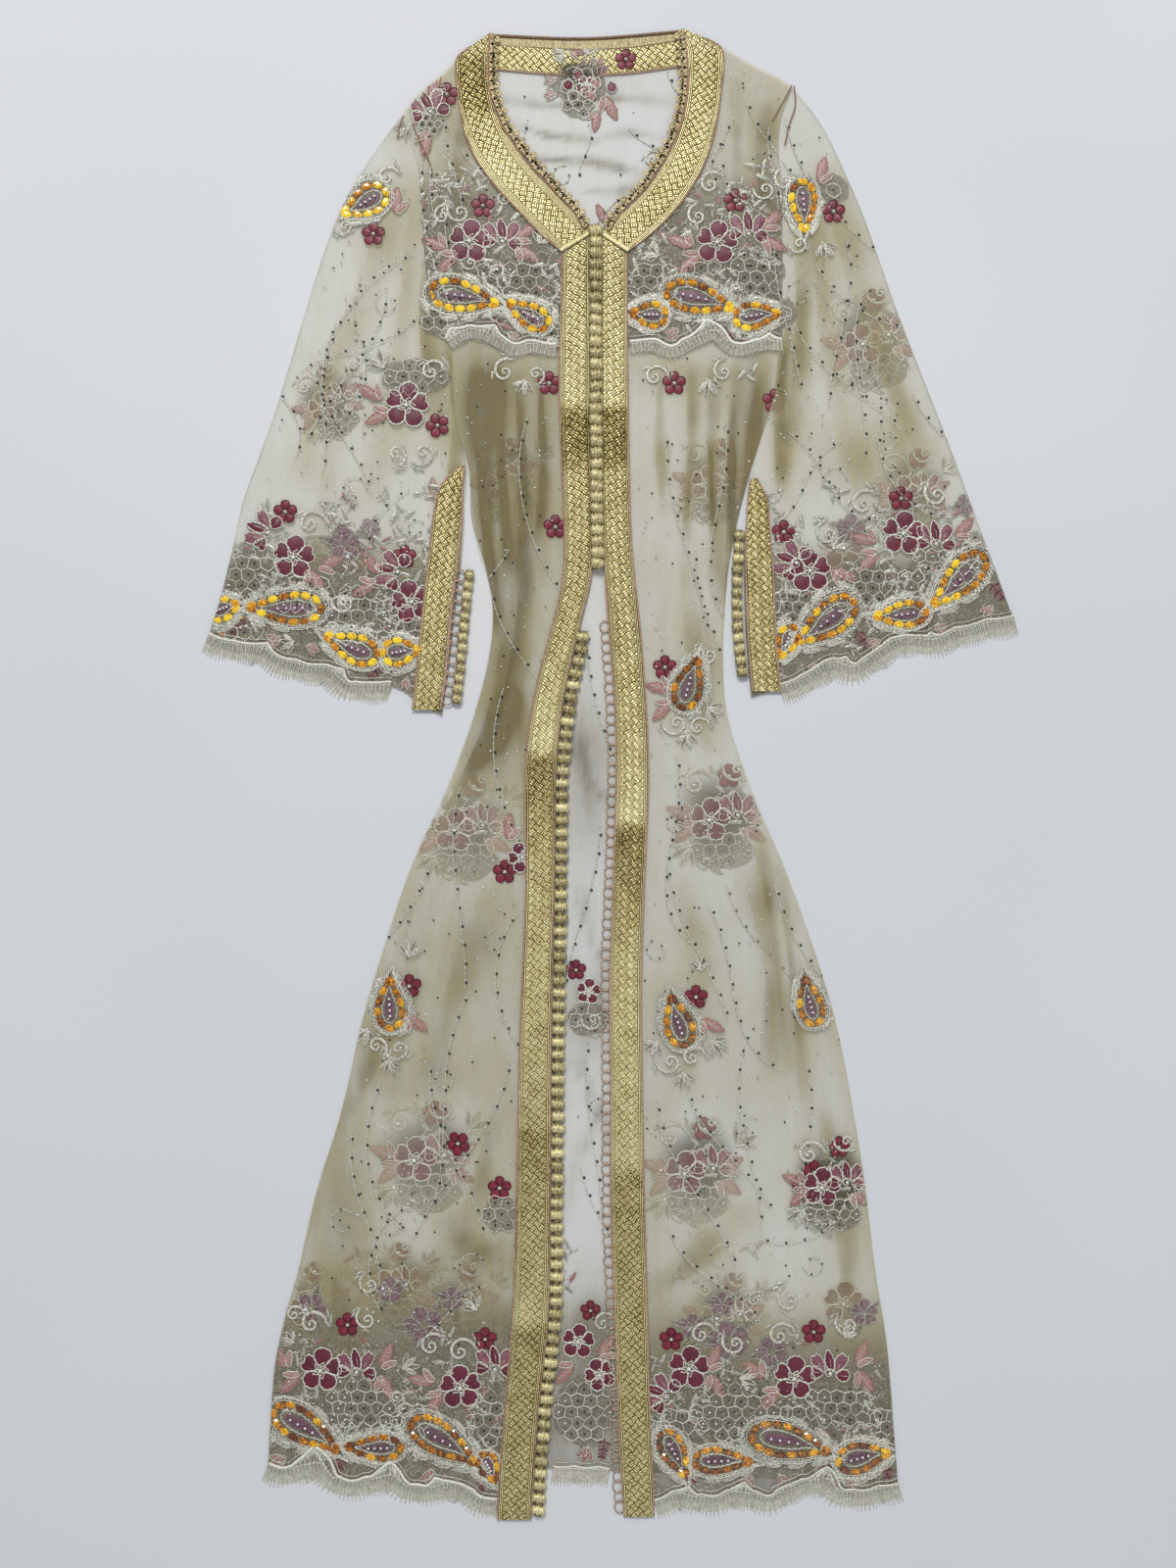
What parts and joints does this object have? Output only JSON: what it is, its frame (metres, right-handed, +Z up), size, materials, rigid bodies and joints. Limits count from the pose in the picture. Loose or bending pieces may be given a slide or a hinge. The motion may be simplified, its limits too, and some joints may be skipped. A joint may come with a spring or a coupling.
{
  "type": "caftan over-robe laid flat",
  "caption": "Floor-length sheer net caftan with wide sleeves, braided neck, front and cuffs, knot buttons with loops and fringed hems, laid flat face up.",
  "frame": {"origin": "middle of the robe's footprint, on the surface that it lies on", "axes": "+Y to the neck, +Z up out of the front of the robe, +X to the side of the front that has the loops"},
  "size_m": [0.7858, 1.4458, 0.0117],
  "materials": {
    "embroidered_net": "sheer cream net with coloured embroidery, beads and stones",
    "metallic_braid": "pale gold metallic thread, diagonal lattice weave with piped edges",
    "gold_knots": "hard knots of gold thread",
    "loop_cord": "thin pinkish beige cord",
    "eyelash_fringe": "translucent grey beige threads"
  },
  "bodies": {
    "root": {"back": "embroidered_net", "bodice_left": "embroidered_net", "bodice_right": "embroidered_net", "skirt_left": "embroidered_net", "skirt_right": "embroidered_net", "sleeve_left": "embroidered_net", "sleeve_right": "embroidered_net", "back_neck_band": "metallic_braid", "braid_neck_left": "metallic_braid", "braid_neck_right": "metallic_braid", "braid_front_left": "metallic_braid", "braid_front_right": "metallic_braid", "braid_cuff_left": "metallic_braid", "braid_cuff_right": "metallic_braid", "neck_edging_left": "gold_knots", "neck_edging_right": "gold_knots", "buttons_closed": "gold_knots", "buttons_front": "gold_knots", "buttons_cuff_left": "gold_knots", "buttons_cuff_right": "gold_knots", "loops_front": "loop_cord", "loops_cuff_left": "loop_cord", "fringe_skirt_left": "eyelash_fringe", "fringe_skirt_right": "eyelash_fringe", "fringe_back": "eyelash_fringe", "fringe_bodice_left": "eyelash_fringe", "fringe_bodice_right": "eyelash_fringe", "fringe_sleeve_left": "eyelash_fringe", "fringe_sleeve_right": "eyelash_fringe"}
  },
  "joints": []
}
